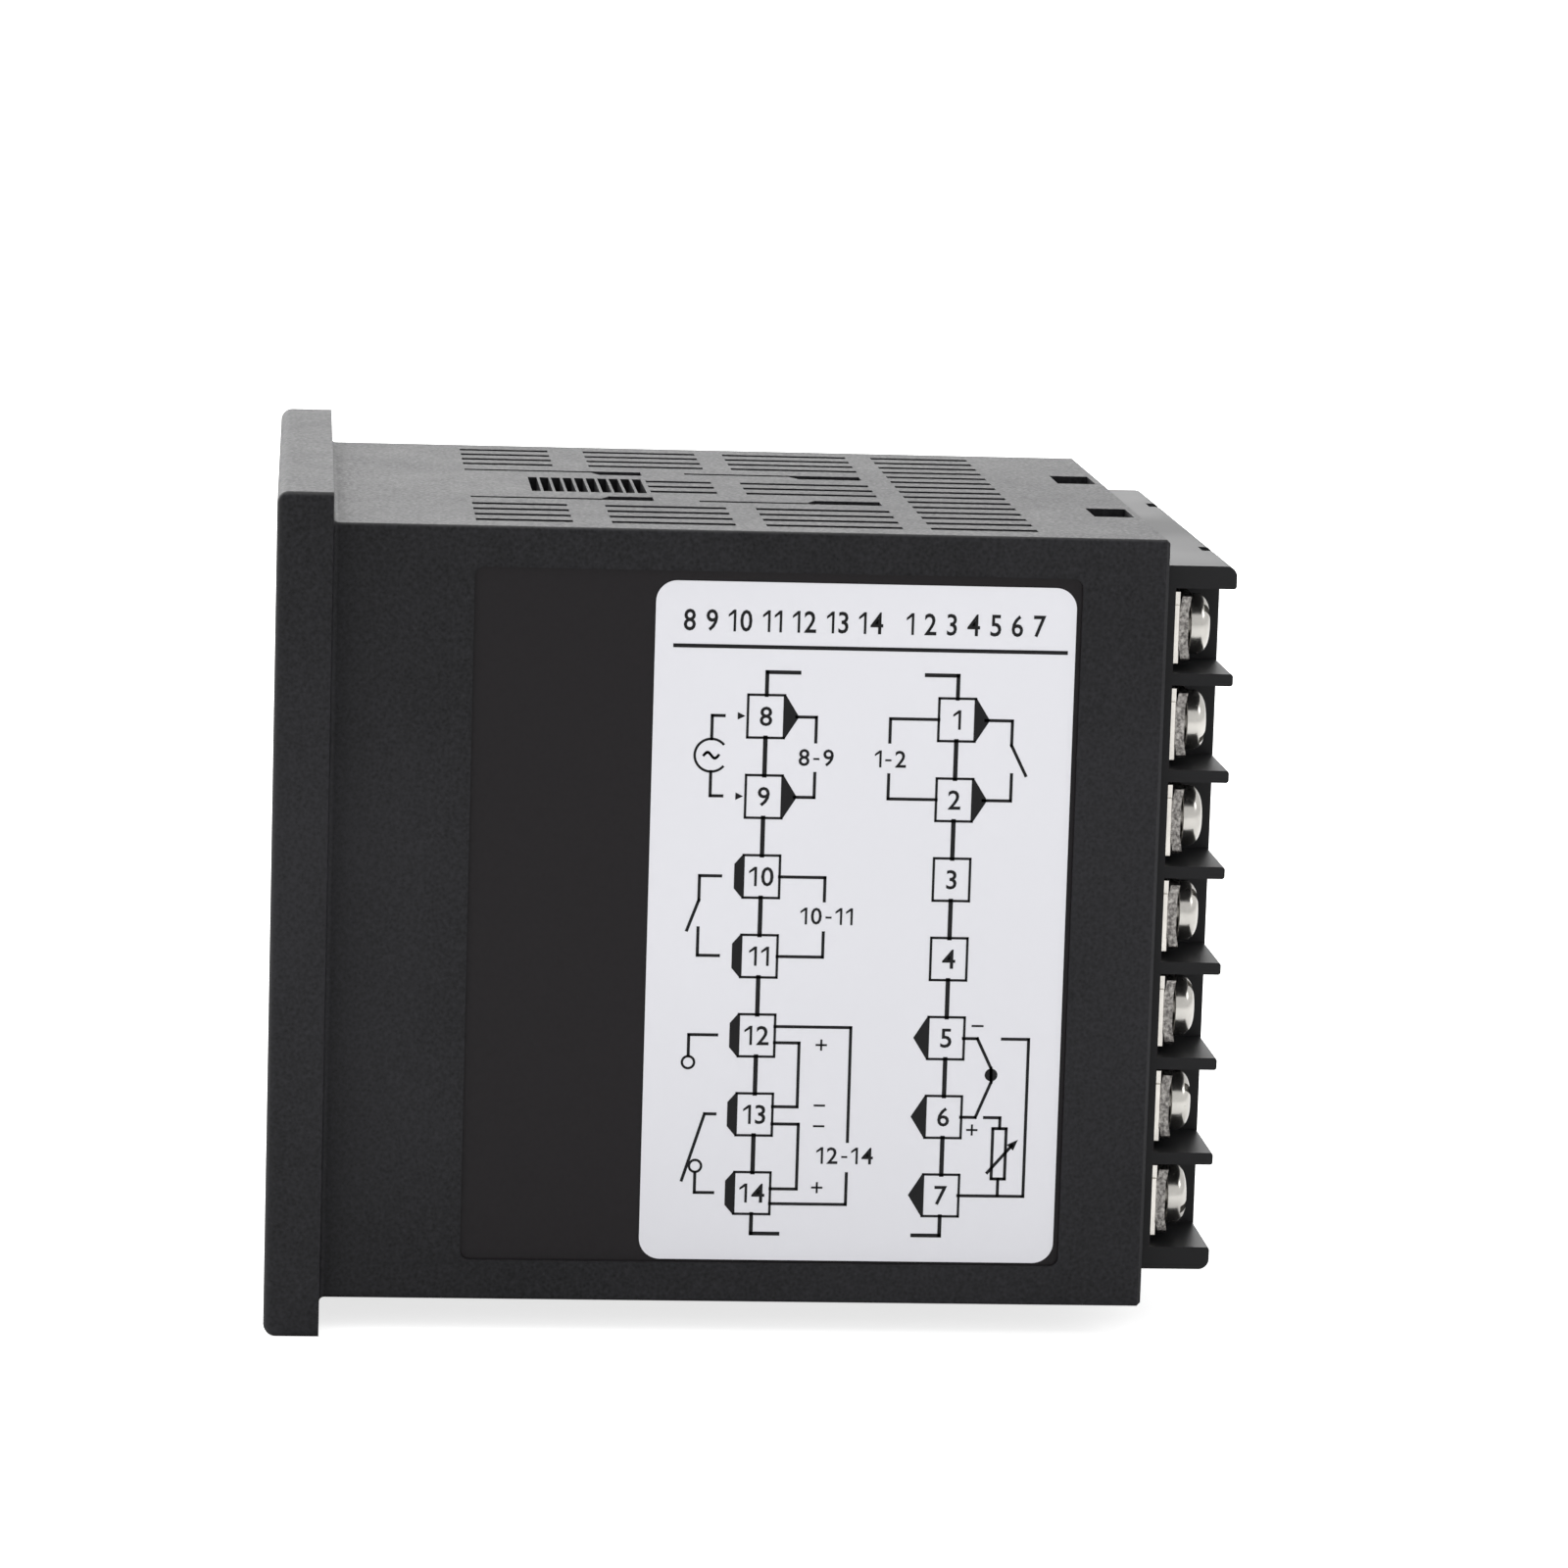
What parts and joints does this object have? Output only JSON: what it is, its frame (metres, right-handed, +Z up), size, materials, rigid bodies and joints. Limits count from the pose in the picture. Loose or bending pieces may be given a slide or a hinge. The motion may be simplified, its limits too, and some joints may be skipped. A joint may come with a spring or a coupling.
{
  "type": "panel temperature controller",
  "caption": "Square panel-mounted temperature controller with a front flange, slotted case, rear screw terminals and a chassis that slides out to the front.",
  "frame": {"origin": "centre of the flange's rear face, in the plane of the panel it is fastened to", "axes": "+Y back through the panel, +Z up, +X to the right as seen from the front"},
  "size_m": [0.072, 0.0815, 0.072],
  "materials": {
    "case_plastic": "fine spark-eroded grain, satin black",
    "terminal_plastic": "smooth satin black",
    "plated_metal": "bright nickel plate, slightly uneven",
    "label_paper": "smooth white label stock, printed",
    "fascia_plastic": "fine grain, satin black",
    "smoked_window": "smoked, glossy",
    "key_plastic": "satin dark grey",
    "black_component": "moulded component black",
    "circuit_board": "green solder mask",
    "zinc_screw": "zinc plated",
    "digit_face": "dark grey face with pale unlit segments",
    "lamp_lens": "diffused tinted lens",
    "core_steel": "laminated, varnished edges",
    "bobbin_plastic": "natural nylon",
    "winding_tape": "yellow polyester tape",
    "relay_case": "glossy blue",
    "capacitor_sleeve": "dark shrink sleeve with a pale stripe",
    "fuse_glass": "clear",
    "varistor_blue": "blue epoxy",
    "sink_aluminium": "extruded",
    "film_capacitor_yellow": "yellow box"
  },
  "bodies": {
    "case": {"case_shell": "case_plastic", "terminal_base": "terminal_plastic", "terminal_contacts": "plated_metal", "clamp_washers": "plated_metal", "terminal_screws": "plated_metal", "wiring_label": "label_paper"},
    "chassis": {"fascia": "fascia_plastic", "display_window": "smoked_window", "tact_switches": "black_component", "display_board": "circuit_board", "board_screws": "zinc_screw", "main_digits": "digit_face", "set_digits": "digit_face", "indicator_lamps": "lamp_lens", "power_board": "circuit_board", "control_board": "circuit_board", "board_spacer": "terminal_plastic", "board_headers": "black_component", "transformer_core": "core_steel", "transformer_bobbin": "bobbin_plastic", "transformer_winding": "winding_tape", "output_relay_front": "relay_case", "output_relay_rear": "relay_case", "alarm_relay": "relay_case", "filter_capacitor": "capacitor_sleeve", "small_capacitors": "capacitor_sleeve", "bridge_rectifier": "black_component", "fuse_tube": "fuse_glass", "fuse_clips": "plated_metal", "varistor": "varistor_blue", "voltage_regulator": "black_component", "heat_sink": "sink_aluminium", "microcontroller": "black_component", "memory_chip": "black_component", "crystal": "plated_metal", "optocouplers": "black_component", "film_capacitors": "film_capacitor_yellow", "resistor_network": "black_component"},
    "key_set": {"key_set": "key_plastic", "plunger_set": "black_component"},
    "key_shift": {"key_shift": "key_plastic", "plunger_shift": "black_component"},
    "key_down": {"key_down": "key_plastic", "plunger_down": "black_component"},
    "key_up": {"key_up": "key_plastic", "plunger_up": "black_component"}
  },
  "joints": [
    {"name": "chassis_slide", "type": "slide", "parent": "case", "child": "chassis", "axis": [0, -1, 0], "range_m": [0, 0.066]},
    {"name": "key_set_press", "type": "slide", "parent": "chassis", "child": "key_set", "axis": [0, 1, 0], "range_m": [0, 0.0003], "stiffness_N_per_m": 3000, "springref_m": -0.0002},
    {"name": "key_shift_press", "type": "slide", "parent": "chassis", "child": "key_shift", "axis": [0, 1, 0], "range_m": [0, 0.0003], "stiffness_N_per_m": 3000, "springref_m": -0.0002},
    {"name": "key_down_press", "type": "slide", "parent": "chassis", "child": "key_down", "axis": [0, 1, 0], "range_m": [0, 0.0003], "stiffness_N_per_m": 3000, "springref_m": -0.0002},
    {"name": "key_up_press", "type": "slide", "parent": "chassis", "child": "key_up", "axis": [0, 1, 0], "range_m": [0, 0.0003], "stiffness_N_per_m": 3000, "springref_m": -0.0002}
  ]
}
